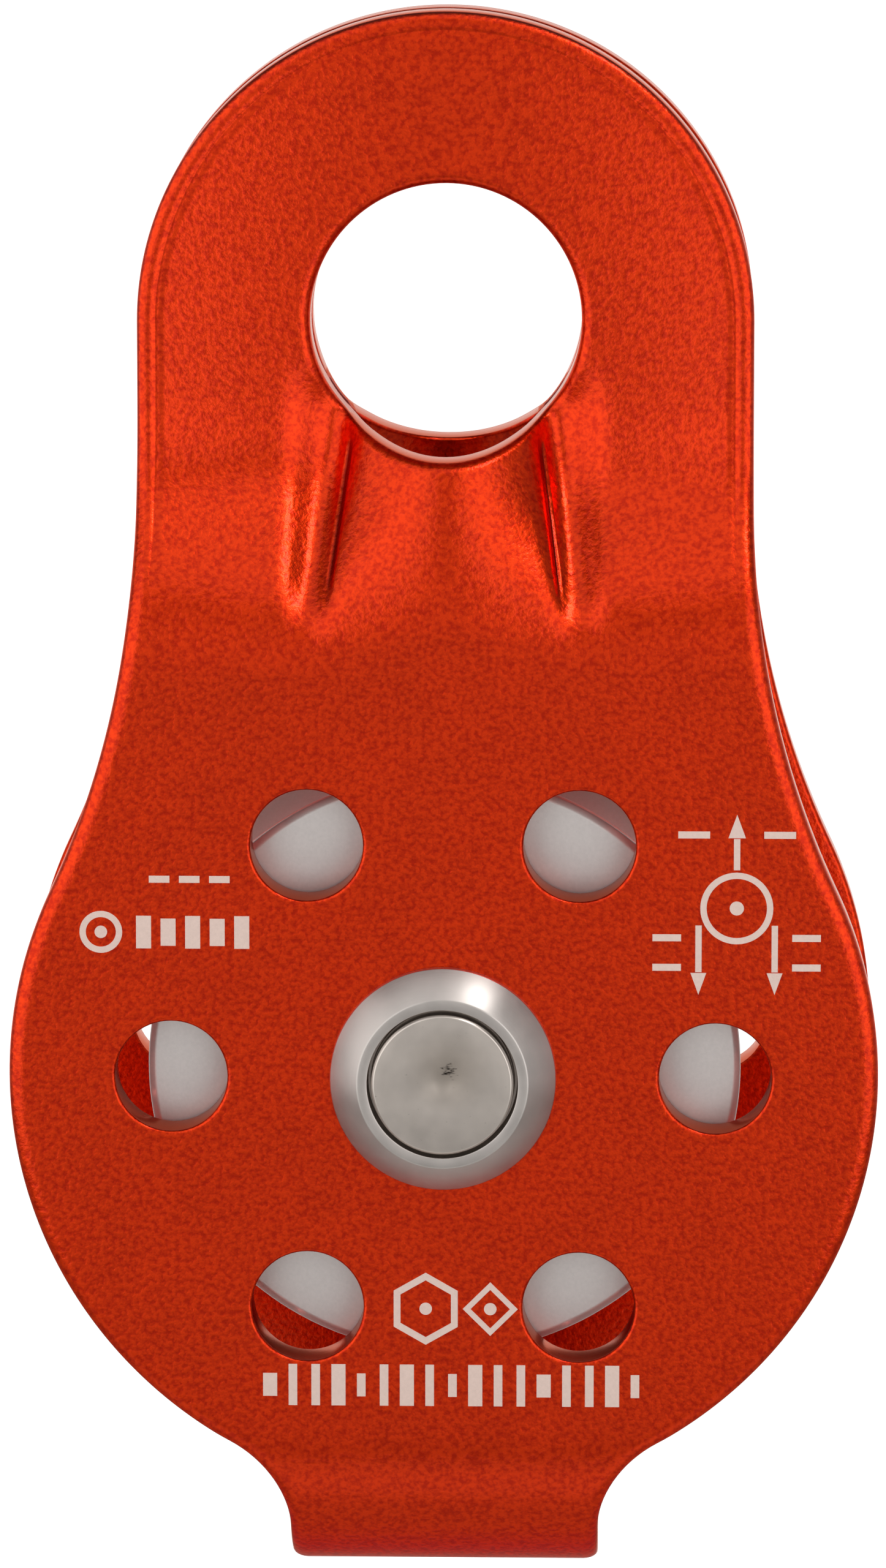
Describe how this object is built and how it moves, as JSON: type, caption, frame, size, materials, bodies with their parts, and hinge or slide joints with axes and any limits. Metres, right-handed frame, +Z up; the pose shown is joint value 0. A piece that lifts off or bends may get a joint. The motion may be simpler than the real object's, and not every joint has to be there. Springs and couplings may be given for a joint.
{
  "type": "rope pulley",
  "caption": "Fixed-cheek rope pulley: a folded plate with a carabiner eye carries a grooved sheave on sealed ball bearings.",
  "frame": {"origin": "centre of the carabiner eye, midway between the two cheeks", "axes": "+Z up, away from the sheave; +Y along the eye's and the axle's direction, with the front cheek facing -Y; +X to the right seen from the front"},
  "size_m": [0.055, 0.0254, 0.1008],
  "materials": {
    "anodised_plate": "orange anodised after tumbling, satin",
    "sheave_aluminium": "tumbled, matte",
    "pin_steel": "turned stainless steel",
    "collar_steel": "turned stainless steel, polished",
    "shim_steel": "rolled",
    "spacer_aluminium": "turned",
    "bearing_steel": "ground",
    "ball_steel": "polished",
    "cage_nylon": "moulded nylon",
    "seal_rubber": "moulded"
  },
  "bodies": {
    "frame": {"folded_side_plate": "anodised_plate", "axle_pin": "pin_steel", "front_collar": "collar_steel", "rear_collar": "collar_steel", "bearing_spacer": "spacer_aluminium", "front_shim_washer": "shim_steel", "rear_shim_washer": "shim_steel", "front_bearing_inner_ring": "bearing_steel", "rear_bearing_inner_ring": "bearing_steel"},
    "wheel": {"sheave": "sheave_aluminium", "front_bearing_outer_ring": "bearing_steel", "front_bearing_outer_seal": "seal_rubber", "front_bearing_inner_seal": "seal_rubber", "rear_bearing_outer_ring": "bearing_steel", "rear_bearing_outer_seal": "seal_rubber", "rear_bearing_inner_seal": "seal_rubber"},
    "front_ball_set": {"front_bearing_balls": "ball_steel", "front_bearing_cage": "cage_nylon"},
    "rear_ball_set": {"rear_bearing_balls": "ball_steel", "rear_bearing_cage": "cage_nylon"}
  },
  "joints": [
    {"name": "sheave_spin", "type": "hinge", "parent": "frame", "child": "wheel", "pos_m": [0, 0, -0.0474], "axis": [0, 1, 0], "continuous": true},
    {"name": "front_ball_orbit", "type": "hinge", "parent": "frame", "child": "front_ball_set", "pos_m": [0, 0, -0.0474], "axis": [0, 1, 0], "continuous": true},
    {"name": "rear_ball_orbit", "type": "hinge", "parent": "frame", "child": "rear_ball_set", "pos_m": [0, 0, -0.0474], "axis": [0, 1, 0], "continuous": true}
  ],
  "couplings": [
    {"joint": "front_ball_orbit", "follows": "sheave_spin", "ratio": 0.58461},
    {"joint": "rear_ball_orbit", "follows": "sheave_spin", "ratio": 0.58461}
  ]
}
